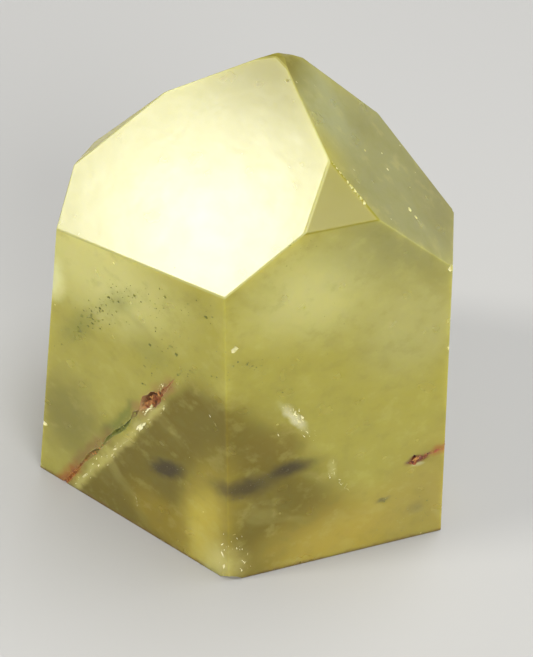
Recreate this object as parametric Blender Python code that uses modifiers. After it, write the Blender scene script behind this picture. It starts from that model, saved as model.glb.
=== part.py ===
"""A self-standing quartz crystal: six prism sides under a six-faced point, on a sawn flat base.

The crystal is a block cut down by its own faces. A face is given the way a mineral drawing gives
it: the bearing of its outward normal in degrees from +X, the lean of that normal from straight
up, and its distance in millimetres from the foot of the crystal's axis. On perfect quartz the
bearings step by 60 degrees, the prism leans 90 and the point leans 51.8; growth and hand
polishing move each face a few degrees from that. The front edge faces -Y.
"""

import math

import bmesh
import bpy
from mathutils import Vector

MM = 0.001

# The six prism sides, going round from the left of the front edge: bearing, lean, distance.
PRISM_SIDES = {
    "front_left": (-119.5, 89.0, 13.4),
    "front_right": (-67.5, 86.0, 14.0),
    "right": (-2.0, 83.0, 19.2),
    "back_right": (60.5, 90.5, 8.6),
    "back_left": (115.0, 88.0, 17.4),
    "left": (173.0, 84.0, 18.6),
}
# The point: three large faces that meet at the tip, each over a prism side.
LARGE_SLOPES = {
    "front_left": (-127.0, 42.0, 33.4),
    "right": (5.0, 42.5, 34.0),
    "back_left": (112.0, 56.5, 26.4),
}
# Between them sit three small faces that stay low and come out as triangles.
SMALL_SLOPES = {
    "front_right": (-68.5, 47.5, 34.6),
    "back_right": (61.0, 51.0, 30.8),
    "left": (154.5, 49.5, 33.0),
}

BLOCK_SIDE = 120 * MM  # larger than the crystal every way
EDGE_WIDTH = 0.08 * MM  # the polish rounds the edges by this little
EDGE_SEGMENTS = 2

CHIP_RADIUS = 3.4 * MM  # the shell-shaped chip off the base's front corner
CHIP_DEPTH = 0.55 * MM
CHIP_BEARING = -84.0  # the way the chip faces
CHIP_DROP = 38.0  # and how far below level it faces

BODY_COLOUR = (0.56, 0.55, 0.24, 1.0)
BODY_ROUGHNESS = 0.12
QUARTZ_IOR = 1.544


def clear_scene():
    for leftover in list(bpy.data.objects):
        bpy.data.objects.remove(leftover, do_unlink=True)


def collection(name):
    made = bpy.data.collections.new(name)
    bpy.context.scene.collection.children.link(made)
    return made


def direction(bearing, lean):
    """The unit vector at this bearing from +X, leaning this far from straight up."""
    turn = math.radians(bearing)
    tilt = math.radians(lean)
    return Vector(
        (
            math.cos(turn) * math.sin(tilt),
            math.sin(turn) * math.sin(tilt),
            math.cos(tilt),
        )
    )


def cut(shape, point, normal):
    """Saws the shape along a plane, throws away the outer side and closes the wound with one face."""
    everything = shape.verts[:] + shape.edges[:] + shape.faces[:]
    sawn = bmesh.ops.bisect_plane(
        shape,
        geom=everything,
        plane_co=point,
        plane_no=normal,
        dist=1e-7,
        clear_outer=True,
    )
    rim = [piece for piece in sawn["geom_cut"] if isinstance(piece, bmesh.types.BMEdge)]
    bmesh.ops.contextual_create(shape, geom=rim)


def crystal_mesh(name):
    """The block cut by the base and every face, then set with the middle of its box on the axis."""
    shape = bmesh.new()
    bmesh.ops.create_cube(shape, size=BLOCK_SIDE)
    cut(shape, Vector(), Vector((0, 0, -1)))
    for faces in (PRISM_SIDES, LARGE_SLOPES, SMALL_SLOPES):
        for bearing, lean, distance in faces.values():
            outward = direction(bearing, lean)
            cut(shape, outward * distance * MM, outward)
    across = [vertex.co.x for vertex in shape.verts]
    deep = [vertex.co.y for vertex in shape.verts]
    middle = Vector((min(across) + max(across), min(deep) + max(deep), 0)) / 2
    bmesh.ops.translate(shape, verts=shape.verts, vec=-middle)
    bmesh.ops.recalc_face_normals(shape, faces=shape.faces)
    mesh = bpy.data.meshes.new(name)
    shape.to_mesh(mesh)
    shape.free()
    return mesh


def front_corner(mesh):
    """The base's corner nearest the viewer."""
    on_base = [vertex.co for vertex in mesh.vertices if vertex.co.z < 1e-5]
    return min(on_base, key=lambda corner: corner.y).copy()


def chip_cutter(corner, helpers):
    """A ball that scoops a shell-shaped chip off the corner."""
    outward = direction(CHIP_BEARING, 90 + CHIP_DROP)
    ball = bmesh.new()
    bmesh.ops.create_uvsphere(ball, u_segments=40, v_segments=24, radius=CHIP_RADIUS)
    mesh = bpy.data.meshes.new("corner_chip_cutter")
    ball.to_mesh(mesh)
    ball.free()
    cutter = bpy.data.objects.new("corner_chip_cutter", mesh)
    cutter.location = corner + outward * (CHIP_RADIUS - CHIP_DEPTH)
    cutter.hide_render = True
    cutter.display_type = "WIRE"
    helpers.objects.link(cutter)
    return cutter


def crystal_material():
    material = bpy.data.materials.new("chlorite_quartz")
    material.use_nodes = True
    shader = material.node_tree.nodes["Principled BSDF"]
    shader.inputs["Base Color"].default_value = BODY_COLOUR
    shader.inputs["Roughness"].default_value = BODY_ROUGHNESS
    shader.inputs["Metallic"].default_value = 0.0
    shader.inputs["IOR"].default_value = QUARTZ_IOR
    return material


def build():
    clear_scene()
    parts = collection("chlorite_quartz_crystal")
    helpers = collection("cutters")

    mesh = crystal_mesh("quartz_crystal")
    mesh.materials.append(crystal_material())
    crystal = bpy.data.objects.new("quartz_crystal", mesh)
    parts.objects.link(crystal)

    edges = crystal.modifiers.new("polished_edges", "BEVEL")
    edges.width = EDGE_WIDTH
    edges.segments = EDGE_SEGMENTS
    edges.limit_method = "ANGLE"
    edges.angle_limit = math.radians(5)

    chip = crystal.modifiers.new("corner_chip", "BOOLEAN")
    chip.operation = "DIFFERENCE"
    chip.solver = "EXACT"
    chip.object = chip_cutter(front_corner(mesh), helpers)


build()
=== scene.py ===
# %% [markdown]
# # A polished chlorite quartz crystal
#
# The thing made here is one natural quartz crystal, sawn flat at the foot so that it stands up, and
# polished by hand. Quartz is glass-clear by itself. This one is cloudy: it grew through muddy,
# iron-bearing water and closed over grains of green chlorite, rusty films and milky haze.
#
# The design file already fixed its outline. This file gives the stone its looks: chips, a rusty
# cleft, haze, grains and light. Everything is in metres, +Z up, and stands where the frame stands.
# Places inside the stone are written in millimetres, because that is how one measures a pebble.

# %% Load the stone's frame
import math
import random

import bmesh
import bpy
from mathutils import Matrix, Vector, noise
from mathutils.bvhtree import BVHTree


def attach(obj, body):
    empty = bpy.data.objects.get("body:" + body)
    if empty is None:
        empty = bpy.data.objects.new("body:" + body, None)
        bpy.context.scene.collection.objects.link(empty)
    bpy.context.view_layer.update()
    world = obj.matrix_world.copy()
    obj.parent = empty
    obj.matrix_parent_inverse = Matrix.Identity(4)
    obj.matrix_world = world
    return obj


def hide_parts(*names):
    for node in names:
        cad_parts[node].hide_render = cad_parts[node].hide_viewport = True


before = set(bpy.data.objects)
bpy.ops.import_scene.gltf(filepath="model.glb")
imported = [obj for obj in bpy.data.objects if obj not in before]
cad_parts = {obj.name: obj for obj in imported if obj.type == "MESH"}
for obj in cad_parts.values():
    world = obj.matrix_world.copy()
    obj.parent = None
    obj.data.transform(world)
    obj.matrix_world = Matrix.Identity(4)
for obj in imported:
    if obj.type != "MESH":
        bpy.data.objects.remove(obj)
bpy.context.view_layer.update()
MM = 0.001
rough_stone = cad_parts["quartz_crystal"]

# %% [markdown]
# ## The camera
#
# A small object on a table is usually looked down on from close by. A short telephoto lens keeps
# the six sides of the crystal nearly parallel and still lets them draw together a little towards
# the foot. A camera can be aimed with a constraint, but three turns are easier to read: swing it
# round the upright axis, nod it down, then roll it in the hand.

# %% Set the camera
CAMERA_PLACE = Vector((1.9, -86.65, 106.76)) * MM
LOOKS_DOWN = 45.83
LOOKS_RIGHT = -0.57
HAND_ROLL = 5.06
LENS_LENGTH = 76.7

lens = bpy.data.cameras.new("hand_camera")
lens.lens = LENS_LENGTH
lens.clip_start = 5 * MM
camera = bpy.data.objects.new("hand_camera", lens)
bpy.context.scene.collection.objects.link(camera)
swing = Matrix.Rotation(math.radians(-LOOKS_RIGHT), 4, "Z")
nod = Matrix.Rotation(math.radians(90 - LOOKS_DOWN), 4, "X")
roll = Matrix.Rotation(math.radians(HAND_ROLL), 4, "Z")
camera.matrix_world = Matrix.Translation(CAMERA_PLACE) @ swing @ nod @ roll
bpy.context.scene.camera = camera
print("camera stands", round(CAMERA_PLACE.length / MM), "mm from the foot of the stone")

# %% [markdown]
# ## Table and light
#
# Pale stone reads best on a plain, slightly warm grey-white. One small round lamp stands where the
# large front slope mirrors it towards the camera, so that slope burns out to white while the sides
# keep their colour. A wide lamp overhead, a second one where a window would be, at the front right,
# and a pale sky fill in softly.
#
# A table of any size ends in a hard line when one looks across it from low down. So this one is a
# disc that fades away towards its rim, and what lies behind it is a plain pale backdrop that only
# the camera sees. The stone itself is lit by the lamps and by the dimmer sky.

# %% Helpers for shapes and directions
def place(name, shape, materials):
    """Turns a bmesh into an object in the scene that carries these materials."""
    mesh = bpy.data.meshes.new(name)
    shape.to_mesh(mesh)
    shape.free()
    for material in materials:
        mesh.materials.append(material)
    made = bpy.data.objects.new(name, mesh)
    bpy.context.scene.collection.objects.link(made)
    return made


def direction(bearing, lean):
    """The unit vector at this bearing from +X in degrees, leaning this far from straight up."""
    turn = math.radians(bearing)
    tilt = math.radians(lean)
    level = math.sin(tilt)
    return Vector((math.cos(turn) * level, math.sin(turn) * level, math.cos(tilt)))


# %% Helpers for materials
def start_material(name):
    material = bpy.data.materials.new(name)
    material.use_nodes = True
    return material, material.node_tree, material.node_tree.nodes["Principled BSDF"]


def node(tree, kind, **settings):
    made = tree.nodes.new("ShaderNode" + kind)
    for setting, value in settings.items():
        setattr(made, setting, value)
    return made


def fade(tree, value, empty, full, most=1.0):
    """0 where the value is at empty, rising softly to most where it is at full."""
    ramp = node(tree, "MapRange", interpolation_type="SMOOTHSTEP")
    ramp.inputs["From Min"].default_value = empty
    ramp.inputs["From Max"].default_value = full
    ramp.inputs["To Max"].default_value = most
    tree.links.new(value, ramp.inputs["Value"])
    return ramp.outputs[0]


# %% Lay the table
TABLE_RADIUS = 0.50
FADES_FROM = 0.22
FADED_AT = 0.48

table_paint, tree, shader = start_material("table_paint")
shader.inputs["Base Color"].default_value = (0.40, 0.397, 0.388, 1)
shader.inputs["Roughness"].default_value = 0.7
where = node(tree, "TexCoord")
from_middle = node(tree, "VectorMath", operation="LENGTH")
tree.links.new(where.outputs["Object"], from_middle.inputs[0])
clear = node(tree, "BsdfTransparent")
blend = node(tree, "MixShader")
tree.links.new(fade(tree, from_middle.outputs["Value"], FADES_FROM, FADED_AT), blend.inputs["Fac"])
tree.links.new(shader.outputs[0], blend.inputs[1])
tree.links.new(clear.outputs[0], blend.inputs[2])
tree.links.new(blend.outputs[0], tree.nodes["Material Output"].inputs["Surface"])

table_shape = bmesh.new()
bmesh.ops.create_circle(table_shape, cap_ends=True, segments=96, radius=TABLE_RADIUS)
table = place("table", table_shape, [table_paint])
print("table is a disc", round(2 * TABLE_RADIUS, 2), "m across")

# %% Hang the lamps
FRONT_SLOPE = direction(-127, 42)
HOT_SPOT = Vector((-3.3, -9.5, 36.2)) * MM
LAMP_REACH = 0.6


def lamp(name, spot, aim, size, power, colour):
    """A round lamp, size metres across, that hangs at a spot and shines at its aim."""
    light = bpy.data.lights.new(name, "AREA")
    light.shape = "DISK"
    light.size = size
    light.energy = power
    light.color = colour
    hung = bpy.data.objects.new(name, light)
    hung.location = spot
    hung.rotation_euler = (aim - spot).to_track_quat("-Z", "Y").to_euler()
    hung.visible_transmission = False
    bpy.context.scene.collection.objects.link(hung)


to_camera = (CAMERA_PLACE - HOT_SPOT).normalized()
mirrored = 2 * to_camera.dot(FRONT_SLOPE) * FRONT_SLOPE - to_camera
STONE_MIDDLE = Vector((0, 0, 20)) * MM
lamp(
    "slope_lamp",
    HOT_SPOT + mirrored * LAMP_REACH,
    aim=HOT_SPOT,
    size=0.10,
    power=1.9,
    colour=(1, 0.98, 0.93),
)
lamp(
    "ceiling_lamp",
    Vector((0.15, 0.1, 0.75)),
    aim=STONE_MIDDLE,
    size=0.6,
    power=5.0,
    colour=(1, 1, 1),
)
lamp(
    "window",
    Vector((0.35, -0.6, 0.42)),
    aim=STONE_MIDDLE,
    size=0.5,
    power=4.6,
    colour=(1, 0.99, 0.97),
)
print("slope lamp hangs towards", tuple(round(v, 2) for v in mirrored))

# %% Light the sky and paint the backdrop
sky = bpy.data.worlds.new("pale_room")
bpy.context.scene.world = sky
sky.use_nodes = True
tree = sky.node_tree
sky_light = tree.nodes["Background"]
sky_light.inputs["Color"].default_value = (0.96, 0.97, 0.97, 1)
sky_light.inputs["Strength"].default_value = 0.3
backdrop = node(tree, "Background")
backdrop.inputs["Color"].default_value = (0.64, 0.64, 0.63, 1)
ray = node(tree, "LightPath")
either = node(tree, "MixShader")
tree.links.new(ray.outputs["Is Camera Ray"], either.inputs["Fac"])
tree.links.new(sky_light.outputs[0], either.inputs[1])
tree.links.new(backdrop.outputs[0], either.inputs[2])
tree.links.new(either.outputs[0], tree.nodes["World Output"].inputs["Surface"])
bpy.context.scene.view_settings.view_transform = "Standard"
bpy.context.scene.cycles.volume_bounces = 6
print("sky strength", sky_light.inputs["Strength"].default_value)

# %% [markdown]
# ## Wear: chips, pin pricks and the open cleft
#
# Quartz has no cleavage. It breaks in shell-shaped scoops, so every knock on an edge leaves a small
# hollow with a pale, unpolished floor. One old crack reaches the surface on the left front
# side and is stained by rust, and a second, shorter one opens near the right edge.
#
# Sculpting would make these by hand. Here each one is a small closed cutter, a dented ball for a
# chip and a crooked wedge for a crack, and one Boolean cuts them all. The cutters' faces carry the
# number of the material that the wound should show.

# %% Helpers that make cutters
POLISHED, BROKEN, RUSTY = 0, 1, 2
chance = random.Random(41)


def wander(share, pace, lane):
    """A smooth random value from about -1 to 1 that changes this many times along a run."""
    return noise.noise(Vector((share * pace, lane * 7.3, 0.5))) * 1.6


def add_scoop(shape, centre, across, deep, outward):
    """A dented, slightly flattened ball that bites this deep into the surface."""
    radius = (across * across / 4 + deep * deep) / (2 * deep)
    ball = bmesh.ops.create_icosphere(shape, subdivisions=3, radius=radius)
    middle = centre + outward * (radius - deep)
    seed = Vector((chance.random(), chance.random(), chance.random())) * 50
    squeeze = Vector((chance.uniform(0.6, 1.0), chance.uniform(0.6, 1.0), chance.uniform(0.6, 1.0)))
    for vertex in ball["verts"]:
        ripple = noise.noise(vertex.co / across * 3.5 + seed)
        dented = vertex.co * (1 + 0.9 * ripple * deep / radius)
        along = outward * dented.dot(outward)
        vertex.co = along + (dented - along) * squeeze + middle
        for face in vertex.link_faces:
            face.material_index = BROKEN


BULGE_AT = 0.82  # share of the crack's length
BULGE_REACH = 0.12
# across and down, as shares of the width and the depth, going round from the upper lip
WEDGE_PROFILE = ((0.50, 0.30), (0.42, -0.45), (0.20, -1.0), (-0.12, -0.55), (-0.58, 0.30))


def add_wedge(shape, start, end, outward, width, deep, stations, bulge):
    """A crooked V along a surface, steep above, shallow below and swollen near its end."""
    along = (end - start).normalized()
    upward = outward.cross(along).normalized()
    if upward.z < 0:
        upward.negate()
    rings = []
    for number in range(stations + 1):
        share = number / stations
        taper = min(1.0, 4 * (1 - share) + 0.06)
        belly = 1 + bulge * math.exp(-(((share - BULGE_AT) / BULGE_REACH) ** 2))
        swell = taper * belly * (0.85 + 0.45 * wander(share, 11, 1) + 0.3 * wander(share, 37, 2))
        swell = max(swell, 0.12)
        spot = start.lerp(end, share) + upward * width * 0.45 * wander(share, 7, 3)
        ring = []
        for lane, (across, down) in enumerate(WEDGE_PROFILE):
            shake = 1 + 0.35 * wander(share, 29, 5 + lane)
            offset = upward * across * width * swell * shake + outward * down * deep * swell
            ring.append(shape.verts.new(spot + offset))
        rings.append(ring)
    points = len(rings[0])
    for near, far in zip(rings, rings[1:]):
        for turn in range(points):
            beside = (turn + 1) % points
            wall = shape.faces.new((near[turn], near[beside], far[beside], far[turn]))
            wall.material_index = RUSTY
    shape.faces.new(rings[0]).material_index = RUSTY
    shape.faces.new(rings[-1][::-1]).material_index = RUSTY


# %% Lay out the two cracks
LEFT_FRONT = direction(-119.5, 89)
RIGHT_FRONT = direction(-67.5, 86)
RIGHT_SLOPE = direction(5, 42.5)
CLEFT_FOOT = Vector((-17.0, -5.7, -0.4)) * MM
CLEFT_TOP = Vector((-5.5, -11.7, 23.4)) * MM
RED_CLEFT_LEFT = Vector((14.3, -8.3, 10.8)) * MM
RED_CLEFT_RIGHT = Vector((18.2, -6.8, 11.7)) * MM

cutter_shape = bmesh.new()
add_wedge(
    cutter_shape,
    CLEFT_FOOT,
    CLEFT_TOP,
    LEFT_FRONT,
    width=0.55 * MM,
    deep=0.26 * MM,
    stations=110,
    bulge=1.4,
)
add_wedge(
    cutter_shape,
    RED_CLEFT_RIGHT,
    RED_CLEFT_LEFT,
    RIGHT_FRONT,
    width=0.52 * MM,
    deep=0.20 * MM,
    stations=40,
    bulge=1.5,
)
bmesh.ops.recalc_face_normals(cutter_shape, faces=cutter_shape.faces)

print("cracks hold", len(cutter_shape.faces), "faces")

# %% Lay out the chips
# (place in mm, across, deep, the way it faces)
CHIPS = (
    ((-0.9, -13.4, 28.7), 0.9, 0.16, direction(-93, 88)),
    ((-1.4, -14.0, 23.3), 0.30, 0.08, direction(-93, 88)),
    ((-18.4, -4.7, 7.1), 0.8, 0.20, direction(-153, 86)),
    ((16.2, -6.6, 24.1), 0.7, 0.16, direction(-35, 84)),
    ((14.9, -6.3, 32.7), 0.6, 0.16, direction(-30, 60)),
    ((0.9, -0.6, 44.8), 0.30, 0.07, direction(-65, 45)),
    ((1.5, -2.2, 44.2), 0.34, 0.09, direction(-65, 45)),
    ((11.3, -3.8, 36.1), 0.45, 0.10, RIGHT_SLOPE),
    ((11.8, -4.1, 35.6), 0.30, 0.07, RIGHT_SLOPE),
    ((8.9, 0.4, 38.1), 0.40, 0.09, RIGHT_SLOPE),
    ((9.4, -1.1, 37.7), 0.35, 0.08, RIGHT_SLOPE),
    ((12.0, 2.0, 35.2), 0.45, 0.10, RIGHT_SLOPE),
    ((7.4, -1.3, 39.5), 0.25, 0.06, RIGHT_SLOPE),
    ((3.1, 1.2, 43.3), 0.25, 0.06, RIGHT_SLOPE),
    ((19.3, -1.0, 1.0), 1.5, 0.35, direction(35, 100)),
    ((-8.6, 15.1, 6.4), 1.3, 0.30, direction(90, 88)),
    ((-8.2, 14.9, 15.8), 0.6, 0.14, direction(90, 88)),
    ((-17.3, 11.2, 0.5), 1.8, 0.40, direction(145, 110)),
    ((-15.6, 11.3, 17.5), 0.7, 0.16, direction(145, 86)),
    ((3.4, 8.5, 37.8), 0.8, 0.18, direction(80, 50)),
    ((16.2, 1.3, 25.0), 0.6, 0.14, direction(30, 85)),
    ((15.5, 1.6, 31.7), 0.8, 0.20, direction(30, 62)),
    ((-19.0, -3.9, 2.0), 0.6, 0.14, direction(-160, 95)),
)
for spot, across, deep, outward in CHIPS:
    add_scoop(cutter_shape, Vector(spot) * MM, across * MM, deep * MM, outward)

RIDGE_FROM = Vector((4.7, -6.5, 42.5)) * MM
RIDGE_TO = Vector((7.3, -7.9, 40.1)) * MM
RIDGE_CHIPS = 11
ridge_faces = direction(-30, 42)
for number in range(RIDGE_CHIPS):
    share = (number + 0.6 * chance.random()) / (RIDGE_CHIPS - 1)
    across = (0.22 + 0.34 * chance.random() * (0.3 + share)) * MM
    add_scoop(cutter_shape, RIDGE_FROM.lerp(RIDGE_TO, share), across, across * 0.28, ridge_faces)
print(len(CHIPS) + RIDGE_CHIPS, "chips, and the cutters hold", len(cutter_shape.faces), "faces")

# %% [markdown]
# ## The quartz itself
#
# Cloudy quartz is part glass, part milk. Light enters, is bent, scatters off haze and leaves again
# somewhere else, tinted. A pure glass shader looks empty and a paint shader looks like
# soap, so the Principled shader mixes transmission with subsurface scattering, and a thin haze
# fills the inside as a volume.
#
# The colour follows places inside the stone, not the faces: olive painted shade in the lower half,
# where the shadowed foot shows through, a clearer yellow foot, a milky left shoulder with painted
# light on it, and a right slope greyed by a painted dark reflection and painted shade.
# Each is a soft cloud worked out from the distance to a point or to a plane, bent by noise.

# %% Helpers for places in the stone
def stone_places(tree):
    """The stone's own coordinates in mm."""
    where = node(tree, "TexCoord")
    in_mm = node(tree, "VectorMath", operation="SCALE")
    in_mm.inputs["Scale"].default_value = 1 / MM
    tree.links.new(where.outputs["Object"], in_mm.inputs[0])
    return in_mm.outputs[0]


def blotches(tree, places, scale, detail, roughness=0.5):
    """Noise with this many blotches per mm. More detail adds finer ones."""
    made = node(tree, "TexNoise")
    made.inputs["Scale"].default_value = scale
    made.inputs["Detail"].default_value = detail
    made.inputs["Roughness"].default_value = roughness
    tree.links.new(places, made.inputs["Vector"])
    return made


def bend(tree, places, most, scale):
    """The places pushed about by a soft noise, so that no border is straight."""
    centred = node(tree, "VectorMath", operation="SUBTRACT")
    centred.inputs[1].default_value = (0.5, 0.5, 0.5)
    tree.links.new(blotches(tree, places, scale, 3).outputs["Color"], centred.inputs[0])
    push = node(tree, "VectorMath", operation="MULTIPLY_ADD")
    push.inputs[1].default_value = (most, most, most)
    tree.links.new(centred.outputs[0], push.inputs[0])
    tree.links.new(places, push.inputs[2])
    return push.outputs[0]


def how_far(tree, places, facing):
    """How far each place lies in this direction, in mm."""
    depth = node(tree, "VectorMath", operation="DOT_PRODUCT")
    depth.inputs[1].default_value = facing
    tree.links.new(places, depth.inputs[0])
    return depth.outputs["Value"]


# %% Helpers for soft clouds
def egg(tree, places, middle, reach, turn=(0, 0, 0), core=0.3, most=1.0):
    """An egg-shaped cloud: full inside its core, gone at its reach."""
    local = node(tree, "Mapping", vector_type="TEXTURE")
    local.inputs["Location"].default_value = middle
    local.inputs["Rotation"].default_value = [math.radians(angle) for angle in turn]
    local.inputs["Scale"].default_value = reach
    tree.links.new(places, local.inputs["Vector"])
    away = node(tree, "VectorMath", operation="LENGTH")
    tree.links.new(local.outputs[0], away.inputs[0])
    return fade(tree, away.outputs["Value"], 1.0, core, most)


def behind_plane(tree, places, point, facing, soft):
    """A cloud that fills the side of a plane away from its facing, with a soft border."""
    level = Vector(point).dot(facing)
    return fade(tree, how_far(tree, places, facing), level + soft, level - soft)


def times(tree, *masks):
    """The masks multiplied: a cloud only where all of them are."""
    result = masks[0]
    for mask in masks[1:]:
        product = node(tree, "Math", operation="MULTIPLY")
        tree.links.new(result, product.inputs[0])
        tree.links.new(mask, product.inputs[1])
        result = product.outputs[0]
    return result


def tint(tree, under, mask, colour):
    """Lays a colour over another where the mask says."""
    mix = node(tree, "Mix", data_type="RGBA")
    tree.links.new(mask, mix.inputs["Factor"])
    if isinstance(under, tuple):
        mix.inputs["A"].default_value = (*under, 1)
    else:
        tree.links.new(under, mix.inputs["A"])
    mix.inputs["B"].default_value = (*colour, 1)
    return mix.outputs["Result"]


# %% [markdown]
# ## Painted shade in the lower half, and the big clouds
#
# Painted shade: the lower half is darkened olive-brown, standing in for the shadowed foot and the
# shadow under the stone seen through the quartz. This dark body has three borders: under the cleft,
# down the right side, and level across the top. Multiplying three half-space masks gives one body
# with soft corners, which a texture painted on the faces could not keep in line from one face to
# the next.

# %% Start the quartz with its painted shade
OLIVE_YELLOW = (0.53, 0.48, 0.08)
# Painted shade: the shadowed foot seen through the quartz darkens the lower half to this colour.
PAINTED_SHADE = (0.235, 0.180, 0.005)

quartz, tree, shader = start_material("polished_quartz")
places = stone_places(tree)
bent = bend(tree, places, 2.6, 0.20)
along_cleft = (CLEFT_TOP - CLEFT_FOOT).normalized()
over_cleft = LEFT_FRONT.cross(along_cleft).normalized()
if over_cleft.z < 0:
    over_cleft.negate()
# Painted shade: the lower half, where the shadowed foot shows through, masked by three soft planes.
painted_shade = times(
    tree,
    behind_plane(tree, bent, CLEFT_TOP / MM - over_cleft * 0.8, over_cleft, 0.9),
    behind_plane(tree, bent, (3.1, -12.3, 18.0), direction(0, 58), 2.3),
    behind_plane(tree, bent, (0, -13, 23.4), Vector((0, 0, 1)), 1.8),
)
colour = tint(tree, OLIVE_YELLOW, painted_shade, PAINTED_SHADE)
print("the cleft runs", round((CLEFT_TOP - CLEFT_FOOT).length / MM, 1), "mm over the ghost")

# %% Add the big clouds
LEVEL = (0, 0, 0)
STONE_TIP = (0.1, 1.5, 46)
# middle in mm, reach in mm, turn in degrees, share of the reach that is full, strength, colour
CLOUDS = {
    # Milky quartz with painted light: the upper left is painted paler where the lamps light it.
    "milky shoulder with painted light": ((-12, -7, 30), (12, 9, 8), LEVEL, 0.2, 1.0, (0.82, 0.79, 0.29)),
    "milky top of the right side": ((5, -11, 33), (10, 6, 8), LEVEL, 0.1, 1.0, (0.74, 0.71, 0.26)),
    "grey-green right shoulder": ((13, -8, 28), (8, 5, 9), LEVEL, 0.2, 0.8, (0.60, 0.57, 0.20)),
    # Painted dark reflection and painted shade: the right slope is greyed and darkened towards its
    # far end.
    "painted dark reflection on the right slope": ((12, -1, 38), (16, 14, 9), LEVEL, 0.4, 1.0, (0.38, 0.37, 0.14)),
    "painted shade at the far end of the right slope": ((15, 0, 34), (6, 6, 5), LEVEL, 0.2, 0.7, (0.28, 0.26, 0.08)),
    "painted bluish reflection at the top of the right slope": ((4, 0, 43), (6, 6, 5), LEVEL, 0.3, 0.8, (0.44, 0.45, 0.22)),
    "shade low on the left side": ((-16, -6, 10), (6, 5, 8), LEVEL, 0.2, 0.8, (0.29, 0.26, 0.04)),
    "gold foot": ((11, -9, -1), (15, 11, 12), LEVEL, 0.4, 1.0, (0.58, 0.45, 0.06)),
    "gold right edge": ((17, -6, 4), (8, 8, 14), LEVEL, 0.2, 1.0, (0.50, 0.41, 0.07)),
    "green phantom at the back": (
        (3, 10, 15), (11, 5, 3.4), (0, 25, 0), 0.1, 0.75, (0.21, 0.22, 0.04),
    ),
    "milk at the back": ((-9, 13, 18), (13, 8, 5), (0, -38, 0), 0.0, 0.6, (0.74, 0.70, 0.24)),
    "milky back slope": ((-6, 8, 33), (12, 9, 5), (0, 25, 0), 0.0, 0.5, (0.72, 0.69, 0.24)),
    "smoke in the right side": ((18, -4, 16), (3, 4, 6), LEVEL, 0.2, 0.6, (0.26, 0.22, 0.05)),
    "shade at the back foot": ((4, 10, 3), (12, 6, 5), LEVEL, 0.2, 0.7, (0.24, 0.19, 0.02)),
    "gold left foot": ((-18, 5, 2), (5, 8, 6), LEVEL, 0.2, 0.9, (0.62, 0.50, 0.08)),
    "milky left side": ((-16, 2, 25), (5, 10, 5), (30, 0, 0), 0.0, 0.6, (0.74, 0.71, 0.24)),
    "olive tip": (STONE_TIP, (6, 6, 5), LEVEL, 0.2, 1.0, (0.26, 0.23, 0.03)),
    "gold streak by the front edge": (
        (-2.8, -13.2, 5.5), (4.2, 3.4, 14), (0, 6, 0), 0.1, 0.9, (0.76, 0.62, 0.08),
    ),
    "brown foot of the left side": (
        (-7.0, -11.0, 3.6), (6, 4, 4.5), (0, 30, 0), 0.3, 0.75, (0.42, 0.31, 0.012),
    ),
    "brown heart of the right side": (
        (2.5, -12.8, 16.5), (4, 3, 3.5), LEVEL, 0.3, 0.6, (0.26, 0.19, 0.010),
    ),
}
for middle, reach, turn, core, strength, shade in CLOUDS.values():
    colour = tint(tree, colour, egg(tree, bent, middle, reach, turn, core, strength), shade)
print(len(CLOUDS), "clouds")

# %% [markdown]
# ## Growth streaks and mottling
#
# Quartz is never one even tone. It thickened layer by layer, so long slanting streaks run
# through it, and a finer mottling comes from specks too small to see. Both are the same noise
# texture, once stretched with a Mapping node and once left round.

# %% Add streaks, mottling and painted shade along the foot
streaky = node(tree, "Mapping", vector_type="TEXTURE")
streaky.inputs["Rotation"].default_value = (0, math.radians(40), 0)
streaky.inputs["Scale"].default_value = (8, 6, 3.5)
tree.links.new(bent, streaky.inputs["Vector"])
growth = blotches(tree, streaky.outputs[0], 1.0, 3).outputs["Fac"]
mottle = blotches(tree, places, 0.55, 5, 0.6).outputs["Fac"]
# texture, value where the tint is empty, value where it is full, strength, colour
STREAKS = (
    (growth, 0.52, 0.78, 0.28, (0.26, 0.23, 0.03)),
    (growth, 0.46, 0.22, 0.20, (0.86, 0.80, 0.26)),
    (mottle, 0.50, 0.70, 0.22, (0.28, 0.26, 0.04)),
    (mottle, 0.48, 0.30, 0.16, (0.84, 0.78, 0.24)),
)
for texture, empty, full, strength, shade in STREAKS:
    colour = tint(tree, colour, fade(tree, texture, empty, full, strength), shade)

crooked = bend(tree, places, 1.0, 0.9)
height = how_far(tree, crooked, (0, 0, 1))
# Painted shade: the lowest 0.6 mm, where the stone stands on the table, is darkened red-brown.
colour = tint(tree, colour, fade(tree, height, 0.6, 0.0, 0.7), (0.26, 0.12, 0.02))
print(len(STREAKS), "layers of streaks and mottling")
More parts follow.
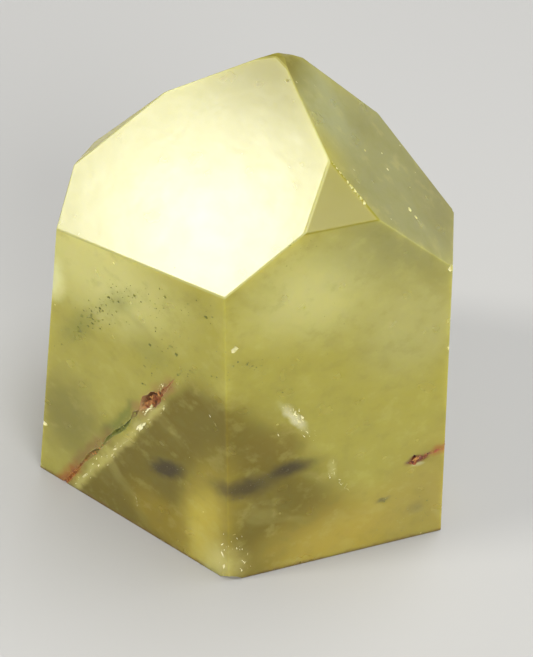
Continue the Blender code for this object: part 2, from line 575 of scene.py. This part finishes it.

# %% [markdown]
# ## Small marks
#
# Smudges, veils, stains and flecks are clouds too, only small and more crooked, and one painted
# highlight is made the same way. Painting them by hand would need a picture laid over the faces. As
# eggs in the stone they keep their place and size, and each can be moved by changing one row.

# %% Add the small marks
MARKS = {
    # Painted highlight: a bright patch on the left shoulder where light shines back out.
    "painted highlight in the left shoulder": (
        (-17.0, -5.0, 26.7), (2.5, 2.2, 3.5), LEVEL, 0.3, 1.0, (1.0, 0.98, 0.45),
    ),
    "rusty film in the left side": (
        (-17.2, 4.0, 13), (2.0, 5.0, 0.8), (28, 0, 0), 0.1, 0.8, (0.40, 0.20, 0.04),
    ),
    "rust at the back": (
        (8.5, 6.5, 8), (3.2, 2.0, 0.8), (0, -30, 0), 0.1, 0.8, (0.36, 0.14, 0.03),
    ),
    "smudge at the back": (
        (-3, 13, 11), (3.0, 3.0, 1.6), (0, 15, 0), 0.1, 0.8, (0.10, 0.08, 0.04),
    ),
    "veil at the back": (
        (1.5, 10.8, 21), (0.7, 2.5, 4.5), (0, 28, 0), 0.0, 0.7, (0.88, 0.84, 0.44),
    ),
    "green cast, low": (
        (-14.5, -6.7, 22.5), (5.2, 2.2, 1.5), (0, -60, 0), 0.0, 0.6, (0.33, 0.34, 0.06),
    ),
    "green cast, high": (
        (-10.8, -8.6, 27.6), (4.2, 2.2, 1.6), (0, -45, 0), 0.0, 0.5, (0.35, 0.36, 0.07),
    ),
    "green cast by the cleft": (
        (-8.0, -10.3, 24.0), (3.4, 2.2, 2.2), LEVEL, 0.0, 0.4, (0.35, 0.36, 0.07),
    ),
    "left smudge": (
        (-6.4, -11.4, 10.7), (3.0, 2.4, 1.5), (0, -36, 0), 0.25, 1.0, (0.085, 0.060, 0.010),
    ),
    "right smudge": ((0.5, -13.9, 12.3), (4.2, 2.8, 2.0), LEVEL, 0.15, 0.9, (0.095, 0.068, 0.010)),
    "right smudge's tail": (
        (4.2, -12.4, 13.5), (3.2, 2.4, 1.4), (0, -8, 20), 0.15, 0.95, (0.08, 0.058, 0.012),
    ),
    "veil": ((4.1, -11.9, 19.6), (0.7, 1.2, 3.3), (0, -33, 0), 0.15, 1.0, (0.92, 0.88, 0.50)),
    "veil's tail": ((7.9, -10.9, 12.3), (0.5, 1.0, 1.9), (0, -8, 0), 0.1, 0.6, (0.70, 0.64, 0.20)),
    "pale corner": ((-0.9, -14.3, 2.0), (3.0, 2.2, 4.6), LEVEL, 0.0, 0.9, (0.84, 0.76, 0.24)),
    "red stain": ((15.4, -7.9, 11.0), (1.5, 1.1, 0.8), (0, -12, 0), 0.3, 1.0, (0.20, 0.03, 0.008)),
    "orange tail": (
        (17.3, -7.2, 11.7), (1.6, 1.2, 0.9), (0, -25, 0), 0.1, 0.8, (0.50, 0.17, 0.03),
    ),
    "white crumb under the stain": (
        (15.6, -7.9, 10.3), (0.9, 0.8, 0.35), LEVEL, 0.2, 0.7, (0.72, 0.68, 0.36),
    ),
    "grey fleck one": (
        (12.9, -9.2, 6.5), (1.1, 0.8, 0.5), (0, -15, 0), 0.1, 0.7, (0.20, 0.18, 0.07),
    ),
    "grey fleck two": (
        (16.2, -8.0, 4.3), (1.6, 0.8, 1.3), (0, -30, 0), 0.1, 0.5, (0.26, 0.22, 0.06),
    ),
}
for middle, reach, turn, core, strength, shade in MARKS.values():
    colour = tint(tree, colour, egg(tree, crooked, middle, reach, turn, core, strength), shade)
print(len(MARKS), "small marks")

# %% [markdown]
# ## The bands beside the cleft
#
# The crack healed long ago, and water left its colours beside it: a pale feathery band below,
# green chlorite and brown in the middle, rust at both ends. Each band is a strip between two
# distances along the cleft and two across it. A noise added to the distance across frays the edges.

# %% Find the way along and across the cleft
beside = bend(tree, places, 0.9, 0.3)
run = how_far(tree, beside, along_cleft)
across = how_far(tree, beside, over_cleft)
FRAYING = 1.2
fraying = node(tree, "Math", operation="MULTIPLY_ADD")
fraying.inputs[1].default_value = FRAYING
tree.links.new(blotches(tree, places, 0.7, 2).outputs["Fac"], fraying.inputs[0])
tree.links.new(across, fraying.inputs[2])
recentre = node(tree, "Math", operation="SUBTRACT")
recentre.inputs[1].default_value = FRAYING / 2
tree.links.new(fraying.outputs[0], recentre.inputs[0])
ragged = recentre.outputs[0]
foot_run = CLEFT_FOOT.dot(along_cleft) / MM
line = CLEFT_TOP.dot(over_cleft) / MM
on_front = behind_plane(tree, places, CLEFT_TOP / MM - LEFT_FRONT * 1.5, -LEFT_FRONT, 0.8)
print("the cleft's foot lies", round(foot_run, 1), "mm along its own line")

# %% Add the bands
# from and to along the cleft and from and to across it, all four in mm, then strength and colour
CLEFT_BANDS = (
    (1.0, 22.5, -1.25, -0.72, 1.0, (0.78, 0.70, 0.20)),
    (12.0, 19.5, 0.2, 1.1, 0.75, (0.21, 0.24, 0.03)),
    (3.5, 13.5, 0.0, 0.9, 0.75, (0.34, 0.20, 0.045)),
    (-1.0, 4.5, -0.3, 0.7, 0.9, (0.50, 0.17, 0.02)),
    (18.5, 25.6, -0.5, 0.6, 0.85, (0.46, 0.26, 0.07)),
)
for start, end, low, high, strength, shade in CLEFT_BANDS:
    band = times(
        tree,
        on_front,
        fade(tree, run, foot_run + start - 1, foot_run + start + 1),
        fade(tree, run, foot_run + end + 1, foot_run + end - 1),
        fade(tree, ragged, line + low - 0.5, line + low + 0.5),
        fade(tree, ragged, line + high + 0.5, line + high - 0.5, strength),
    )
    colour = tint(tree, colour, band, shade)
print(len(CLEFT_BANDS), "bands beside the cleft")

# %% [markdown]
# ## Two slopes, one with painted light
#
# Painted light: the large front slope faces the slope lamp, so its colour is painted paler, as the
# light it catches, and turns olive near the tip. The small slope beside it is tinted a darker gold.
# Their tones end at the edges of the face, so here the mask is the face's own plane, found as the
# furthest corner of the stone in the direction the face looks.

# %% Tint the two front slopes
def on_face(tree, places, facing):
    """A mask of one flat face of the stone, found by the way it faces."""
    furthest = max((vertex.co for vertex in rough_stone.data.vertices), key=facing.dot)
    return behind_plane(tree, places, furthest / MM - facing * 0.10, -facing, 0.05)


LITTLE_SLOPE = direction(-68.5, 47.5)
colour = tint(tree, colour, on_face(tree, places, LITTLE_SLOPE), (0.355, 0.32, 0.03))
# Painted light: the front slope, facing the slope lamp, is painted pale.
on_slope = on_face(tree, places, FRONT_SLOPE)
colour = tint(tree, colour, on_slope, (0.58, 0.56, 0.22))
# The painted light turns olive near the tip.
near_tip = times(tree, on_slope, egg(tree, places, STONE_TIP, (11, 11, 8), LEVEL, 0.1, 0.8))
colour = tint(tree, colour, near_tip, (0.36, 0.33, 0.07))
tree.links.new(colour, shader.inputs["Base Color"])
print("colour is mixed from", len(tree.nodes), "nodes")

# %% [markdown]
# ## Light inside and polish outside
#
# Light travels about two millimetres in this milky quartz before it scatters, red and green
# further than blue, which is why the stone glows yellow. The polish is good but not a mirror: a
# low roughness that wanders a little, and a bump so shallow that it only bends the reflections.

# %% Set the light inside and the polish
QUARTZ_IOR = 1.544
shader.inputs["IOR"].default_value = QUARTZ_IOR
shader.inputs["Specular IOR Level"].default_value = 0.25
shader.inputs["Transmission Weight"].default_value = 0.35
shader.inputs["Subsurface Weight"].default_value = 1.0
shader.inputs["Subsurface Radius"].default_value = (1.0, 0.9, 0.35)
shader.inputs["Subsurface Scale"].default_value = 2 * MM

polish = blotches(tree, places, 0.5, 2).outputs["Fac"]
shine = node(tree, "MapRange")
shine.inputs["To Min"].default_value = 0.24
shine.inputs["To Max"].default_value = 0.29
tree.links.new(polish, shine.inputs["Value"])
tree.links.new(shine.outputs[0], shader.inputs["Roughness"])


def bumps(tree, shader, height, strength, distance):
    """Raises the surface by up to this distance where the height texture is bright."""
    bump = node(tree, "Bump")
    bump.inputs["Strength"].default_value = strength
    bump.inputs["Distance"].default_value = distance
    tree.links.new(height, bump.inputs["Height"])
    tree.links.new(bump.outputs[0], shader.inputs["Normal"])


bumps(tree, shader, polish, strength=0.3, distance=0.04 * MM)
print("light scatters after", round(shader.inputs["Subsurface Scale"].default_value / MM, 1), "mm")

# %% Fill the inside with haze
haze = node(tree, "VolumePrincipled")
haze.inputs["Color"].default_value = (0.84, 0.79, 0.28, 1)
haze.inputs["Density"].default_value = 55
haze.inputs["Anisotropy"].default_value = 0.3
tree.links.new(haze.outputs[0], tree.nodes["Material Output"].inputs["Volume"])
print("quartz has", len(tree.nodes), "nodes")

# %% [markdown]
# ## Broken quartz and rust
#
# Unpolished quartz scatters light at its surface, so a chip looks paler than the skin round it.
# Rust lies on a crack as a film: orange where it is thin, red-brown where it is thick, with green
# chlorite between them. A colour ramp along the crack sets that order in one place.

# %% Mix the broken quartz
broken, tree, shader = start_material("broken_quartz")
grain = blotches(tree, stone_places(tree), 2.5, 5).outputs["Fac"]
colour = tint(tree, (0.74, 0.71, 0.38), fade(tree, grain, 0.4, 0.6), (0.46, 0.42, 0.13))
tree.links.new(colour, shader.inputs["Base Color"])
shader.inputs["Roughness"].default_value = 0.4
shader.inputs["IOR"].default_value = QUARTZ_IOR
shader.inputs["Subsurface Weight"].default_value = 1.0
shader.inputs["Subsurface Radius"].default_value = (1.0, 0.9, 0.5)
shader.inputs["Subsurface Scale"].default_value = 0.6 * MM
bumps(tree, shader, grain, strength=0.5, distance=0.05 * MM)
print("broken quartz has", len(tree.nodes), "nodes")

# %% Order the rust's colours along the cleft
RUST_STOPS = (
    (0.00, (0.42, 0.13, 0.02)),
    (0.10, (0.46, 0.18, 0.03)),
    (0.20, (0.30, 0.18, 0.04)),
    (0.35, (0.24, 0.20, 0.04)),
    (0.46, (0.17, 0.19, 0.03)),
    (0.62, (0.16, 0.18, 0.035)),
    (0.72, (0.46, 0.26, 0.10)),
    (0.79, (0.24, 0.10, 0.045)),
    (0.86, (0.46, 0.26, 0.10)),
    (0.95, (0.46, 0.22, 0.05)),
    (1.00, (0.03, 0.03, 0.01)),
)

rust, tree, shader = start_material("rusty_cleft")
places = stone_places(tree)
stretch = node(tree, "MapRange")
stretch.inputs["From Min"].default_value = CLEFT_FOOT.dot(along_cleft) / MM
stretch.inputs["From Max"].default_value = CLEFT_TOP.dot(along_cleft) / MM
tree.links.new(how_far(tree, bend(tree, places, 1.6, 0.9), along_cleft), stretch.inputs["Value"])
stain = node(tree, "ValToRGB")
stops = stain.color_ramp.elements
stops.remove(stops[1])
for number, (share, stop_colour) in enumerate(RUST_STOPS):
    stop = stops[0] if number == 0 else stops.new(share)
    stop.position = share
    stop.color = (*stop_colour, 1)
tree.links.new(stretch.outputs[0], stain.inputs["Fac"])
print(len(stops), "colours from foot to top")

# %% Finish the rust with its crust
crust = blotches(tree, places, 3, 6).outputs["Fac"]
rightward = how_far(tree, places, (1, 0, 0))
near_right_edge = fade(tree, rightward, 8, 9)
colour = tint(tree, stain.outputs["Color"], near_right_edge, (0.36, 0.09, 0.02))
dark_red = times(tree, near_right_edge, fade(tree, rightward, 17.0, 16.2))
red_crust = times(tree, dark_red, fade(tree, crust, 0.45, 0.52))
colour = tint(tree, colour, red_crust, (0.11, 0.012, 0.006))
colour = tint(tree, colour, fade(tree, crust, 0.60, 0.70, 0.6), (0.62, 0.50, 0.22))
tree.links.new(colour, shader.inputs["Base Color"])
shader.inputs["Roughness"].default_value = 0.45
bumps(tree, shader, crust, strength=0.8, distance=0.1 * MM)
print("rust has", len(tree.nodes), "nodes")

# %% [markdown]
# ## One skin, three surfaces
#
# The design file's solid is the crystal before it was worn. Its faces are copied here, its tip is
# rubbed blunt with a few shallow cuts, and one exact Boolean takes the chips and cracks out. The
# cut faces keep the material number of the cutter, so the wounds come out already broken or rusty.
# Flat shading keeps the crystal faces flat, and smooth shading softens the small hollows.

# %% Copy the stone's faces
skin_shape = bmesh.new()
corners = [skin_shape.verts.new(vertex.co) for vertex in rough_stone.data.vertices]
for face in rough_stone.data.polygons:
    skin_shape.faces.new([corners[number] for number in face.vertices])
bmesh.ops.remove_doubles(skin_shape, verts=skin_shape.verts, dist=0.002 * MM)
bmesh.ops.dissolve_limit(
    skin_shape, angle_limit=math.radians(0.5), verts=skin_shape.verts, edges=skin_shape.edges
)
print("skin starts with", len(skin_shape.faces), "faces")

# %% Rub the tip blunt
# bearing and lean of each cut, and how far under the tip it passes in mm
TIP_WEAR = (
    (0, 0, 0.36),
    (-61, 10, 0.30),
    (48, 17, 0.30),
    (48, 26, 0.24),
    (180, 14, 0.30),
    (180, 22, 0.24),
)
tip = max((corner.co for corner in skin_shape.verts), key=lambda place: place.z).copy()
for bearing, lean, depth in TIP_WEAR:
    facing = direction(bearing, lean)
    everything = skin_shape.verts[:] + skin_shape.edges[:] + skin_shape.faces[:]
    worn = bmesh.ops.bisect_plane(
        skin_shape,
        geom=everything,
        plane_co=tip - facing * depth * MM,
        plane_no=facing,
        clear_outer=True,
    )
    rim = [piece for piece in worn["geom_cut"] if isinstance(piece, bmesh.types.BMEdge)]
    bmesh.ops.contextual_create(skin_shape, geom=rim)
bmesh.ops.recalc_face_normals(skin_shape, faces=skin_shape.faces)
for face in skin_shape.faces:
    face.material_index = POLISHED
worn_height = max(corner.co.z for corner in skin_shape.verts)
print("the tip lost", round((tip.z - worn_height) / MM, 2), "mm")

# %% Take the wounds out of the skin
surfaces = [quartz, broken, rust]
uncut = place("uncut_skin", skin_shape, surfaces)
cutters = place("cutters", cutter_shape, surfaces)
wounds = uncut.modifiers.new("wounds", "BOOLEAN")
wounds.operation = "DIFFERENCE"
wounds.solver = "EXACT"
wounds.use_self = True
wounds.object = cutters
graph = bpy.context.evaluated_depsgraph_get()
skin_mesh = bpy.data.meshes.new_from_object(uncut.evaluated_get(graph))
skin_mesh.name = "crystal_skin"
skin_mesh.set_sharp_from_angle(angle=math.radians(35))
for face in skin_mesh.polygons:
    face.use_smooth = face.material_index != POLISHED
bpy.data.objects.remove(uncut)
bpy.data.objects.remove(cutters)

# %% Put the skin in the stone's place
skin = bpy.data.objects.new("crystal_skin", skin_mesh)
bpy.context.scene.collection.objects.link(skin)
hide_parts("quartz_crystal")
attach(skin, "root")
slots = range(len(surfaces))
counts = [sum(face.material_index == slot for face in skin_mesh.polygons) for slot in slots]
print("skin has", len(skin_mesh.polygons), "faces: polished, broken, rusty =", counts)

# %% [markdown]
# ## What the crystal grew over
#
# The green flecks are chlorite, the soft grey patches are clouds of dust, the pale feathers are
# flat cracks full of tiny bubbles, and the red is iron rust. The polish has cut through them, so
# they lie in the skin itself, where they look sharp. Anything deeper melts into the haze.
#
# A particle system could scatter them, but a short loop keeps every grain a real closed mesh that
# can be counted. Each run goes from one place to another: grains are thrown along that line, moved
# to the nearest skin and sunk into it, so that about half of each shows.

# %% A seed for the grains and a map of the skin
seed_shape = bmesh.new()
bmesh.ops.create_icosphere(seed_shape, subdivisions=1, radius=1)
SEED_CORNERS = [vertex.co.copy() for vertex in seed_shape.verts]
SEED_FACES = [[vertex.index for vertex in face.verts] for face in seed_shape.faces]
seed_shape.free()
skin_tree = BVHTree.FromPolygons(
    [vertex.co for vertex in rough_stone.data.vertices],
    [face.vertices for face in rough_stone.data.polygons],
)
print("a seed has", len(SEED_CORNERS), "corners and", len(SEED_FACES), "faces")

# %% A helper that grows grains in the skin
def grow(name, material, stretch, stray, runs):
    """Grains of one kind.

    Stretch is a grain's length, width and thickness against its size, and stray is how far it
    turns from the line of its run.
    """
    points = []
    faces = []
    for start, end, spread, count, smallest, largest in runs:
        start = Vector(start)
        end = Vector(end)
        for number in range(count):
            scatter = Vector([chance.gauss(0, spread) for axis in range(3)])
            spot = (start.lerp(end, chance.random()) + scatter) * MM
            on_skin, outward = skin_tree.find_nearest(spot)[:2]
            size = smallest * (largest / smallest) ** (chance.random() ** 1.5) * MM
            wobble = Vector([chance.gauss(0, stray) for axis in range(3)])
            width = outward.cross((end - start).normalized() + wobble).normalized()
            length = width.cross(outward)
            centre = on_skin - outward * size * stretch[2] * chance.uniform(0.35, 0.85)
            first = len(points)
            for corner in SEED_CORNERS:
                jag = size * chance.uniform(0.6, 1.15)
                points.append(
                    centre
                    + length * corner.x * stretch[0] * jag
                    + width * corner.y * stretch[1] * jag
                    + outward * corner.z * stretch[2] * jag
                )
            faces += [[first + corner for corner in face] for face in SEED_FACES]
    mesh = bpy.data.meshes.new(name)
    mesh.from_pydata(points, [], faces)
    mesh.materials.append(material)
    grown = bpy.data.objects.new(name, mesh)
    bpy.context.scene.collection.objects.link(grown)
    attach(grown, "root")
    print(name, "holds", len(faces) // len(SEED_FACES), "grains")


# %% A helper that mixes a speckled mineral
def speckled(name, dark, light, pace, roughness):
    """A plain mineral whose colour wanders between two shades from grain to grain."""
    material, tree, shader = start_material(name)
    cloud = blotches(tree, stone_places(tree), pace, 4).outputs["Fac"]
    colour = tint(tree, dark, fade(tree, cloud, 0.4, 0.62), light)
    tree.links.new(colour, shader.inputs["Base Color"])
    shader.inputs["Roughness"].default_value = roughness
    shader.inputs["Specular IOR Level"].default_value = 0.25
    return material


# %% Grow the green chlorite
# (from, to, spread in mm, how many, smallest and largest size in mm)
CHLORITE_RUNS = (
    ((-16.5, -5.6, 19.0), (-12.5, -7.8, 26.0), 0.50, 70, 0.06, 0.24),
    ((-12.5, -7.8, 26.0), (-10.0, -9.0, 29.8), 0.50, 56, 0.06, 0.24),
    ((-13.4, -7.2, 24.4), (-11.1, -8.4, 25.6), 0.70, 30, 0.08, 0.24),
    ((-10.0, -9.0, 29.8), (-1.2, -13.2, 31.7), 0.90, 60, 0.06, 0.22),
    ((-9.0, -9.8, 20.5), (-6.0, -11.2, 26.5), 0.80, 50, 0.06, 0.22),
    ((-10.5, -9.0, 28.5), (-2.5, -13.0, 27.5), 1.40, 60, 0.04, 0.14),
    ((-5.6, -11.7, 23.2), (-1.3, -13.9, 26.0), 0.50, 60, 0.05, 0.17),
    ((-1.0, -13.6, 26.8), (1.8, -12.8, 25.6), 0.45, 46, 0.05, 0.18),
    ((0.5, -13.2, 25.6), (5.0, -11.5, 19.5), 0.60, 46, 0.04, 0.13),
    ((2.0, -11.4, 37.0), (4.5, -10.4, 37.6), 0.60, 14, 0.05, 0.15),
    ((3.0, -11.4, 29.0), (9.0, -9.8, 26.0), 1.80, 36, 0.04, 0.13),
    ((-11.8, -8.3, 11.1), (-9.0, -9.9, 15.6), 0.22, 90, 0.05, 0.15),
    ((-5.6, -11.6, 23.2), (-5.5, -11.7, 23.4), 0.05, 6, 0.10, 0.18),
    ((-6.0, -11.7, 5.3), (-2.0, -14.0, 4.6), 1.20, 22, 0.04, 0.13),
    ((-9.9, -9.6, 1.8), (-3.4, -13.0, 15.0), 1.50, 18, 0.04, 0.12),
    ((12.6, -9.3, 6.6), (13.6, -9.0, 6.3), 0.25, 16, 0.06, 0.16),
    ((15.5, -8.3, 4.9), (17.6, -7.5, 3.4), 0.40, 18, 0.06, 0.16),
    ((10.5, -10.6, 1.8), (16.8, -7.9, 2.3), 0.60, 20, 0.05, 0.14),
    ((-17, 6, 8), (-15, 3, 30), 2.0, 60, 0.05, 0.18),
    ((17, -2, 6), (15, -1, 28), 1.6, 40, 0.05, 0.16),
    ((-8, 13, 6), (12, 4, 30), 3.0, 90, 0.05, 0.16),
    ((-10, 9, 26), (0, 6, 40), 2.0, 40, 0.05, 0.16),
)
chlorite = speckled(
    "green_chlorite", dark=(0.15, 0.16, 0.03), light=(0.32, 0.32, 0.07), pace=2.0, roughness=0.6
)
grow("chlorite_grains", chlorite, stretch=(1.0, 0.8, 0.7), stray=1.5, runs=CHLORITE_RUNS)

# %% Grow the grey dust of the smudges
DUST_RUNS = (
    ((-8.0, -10.5, 9.5), (-4.9, -12.3, 11.8), 0.26, 60, 0.04, 0.12),
    ((-0.9, -14.2, 12.4), (2.2, -13.2, 12.6), 0.28, 60, 0.04, 0.12),
    ((2.2, -13.2, 13.0), (5.3, -11.9, 13.7), 0.20, 50, 0.04, 0.12),
    ((0.0, -14.2, 10.9), (0.6, -13.9, 11.3), 0.20, 10, 0.04, 0.10),
)
dust = speckled(
    "grey_dust", dark=(0.085, 0.062, 0.016), light=(0.14, 0.11, 0.03), pace=1.5, roughness=0.7
)
grow("smoky_dust", dust, stretch=(1.0, 0.8, 0.6), stray=1.0, runs=DUST_RUNS)

# %% Grow the pale feathers and veils
FEATHER_RUNS = (
    ((-15.6, -6.4, 0.7), (-11.6, -8.55, 8.8), 0.30, 30, 0.20, 0.90),
    ((-11.9, -8.3, 7.9), (-6.6, -11.05, 18.8), 0.16, 30, 0.20, 0.80),
    ((3.1, -12.2, 21.4), (4.7, -11.7, 19.0), 0.20, 60, 0.12, 0.50),
    ((3.9, -11.9, 20.4), (5.8, -11.4, 16.6), 0.26, 36, 0.10, 0.36),
    ((2.8, -12.4, 18.2), (2.9, -12.4, 18.0), 0.05, 5, 0.10, 0.18),
    ((7.8, -10.9, 13.6), (8.0, -10.8, 11.6), 0.06, 10, 0.16, 0.40),
    ((7.6, -11.0, 11.6), (7.8, -10.9, 11.2), 0.10, 8, 0.12, 0.24),
    ((8.5, -10.7, 10.6), (9.5, -10.4, 8.9), 0.12, 16, 0.14, 0.36),
    ((-2.8, -13.3, 20.5), (-2.2, -13.6, 19.7), 0.02, 5, 0.20, 0.40),
    ((-9.4, -9.9, 4.4), (-9.1, -10.1, 2.8), 0.05, 8, 0.20, 0.50),
    ((-8.5, -10.1, 16.2), (-7.7, -10.6, 18.0), 0.12, 40, 0.14, 0.40),
    ((-7.3, -10.7, 19.9), (-6.8, -10.9, 21.2), 0.08, 18, 0.12, 0.28),
    ((-1.0, -14.3, 6.4), (-0.8, -14.8, 1.0), 0.30, 14, 0.16, 0.70),
    ((0.2, -14.4, 5.6), (1.2, -14.5, 0.8), 0.32, 16, 0.16, 0.70),
    ((6, 10, 18), (1, 12, 8), 0.8, 80, 0.20, 0.90),
    ((-16, 4, 14), (-16, 8, 22), 0.5, 50, 0.20, 0.80),
)
pale = speckled(
    "pale_feather", dark=(0.46, 0.41, 0.11), light=(0.92, 0.88, 0.52), pace=0.8, roughness=0.4
)
grow("pale_feathers", pale, stretch=(1.0, 0.22, 0.06), stray=0.22, runs=FEATHER_RUNS)

# %% Grow the rust
RUST_RUNS = (
    ((-8.6, -10.1, 17.0), (-5.9, -11.4, 22.4), 0.20, 110, 0.05, 0.22),
    ((-8.0, -10.4, 18.0), (-7.0, -10.9, 19.6), 0.16, 50, 0.08, 0.26),
    ((-16.8, -5.8, 0.3), (-15.2, -6.6, 3.6), 0.24, 80, 0.06, 0.24),
    ((-15.2, -6.6, 3.6), (-12.3, -8.0, 9.6), 0.26, 60, 0.05, 0.16),
    ((14.6, -8.2, 10.8), (16.8, -7.4, 11.5), 0.22, 70, 0.06, 0.22),
    ((16.7, -7.4, 11.5), (18.2, -6.9, 12.4), 0.16, 20, 0.05, 0.14),
)
ochre = speckled(
    "iron_rust", dark=(0.20, 0.055, 0.018), light=(0.50, 0.24, 0.07), pace=1.1, roughness=0.7
)
grow("rust_flakes", ochre, stretch=(1.0, 0.6, 0.35), stray=0.6, runs=RUST_RUNS)
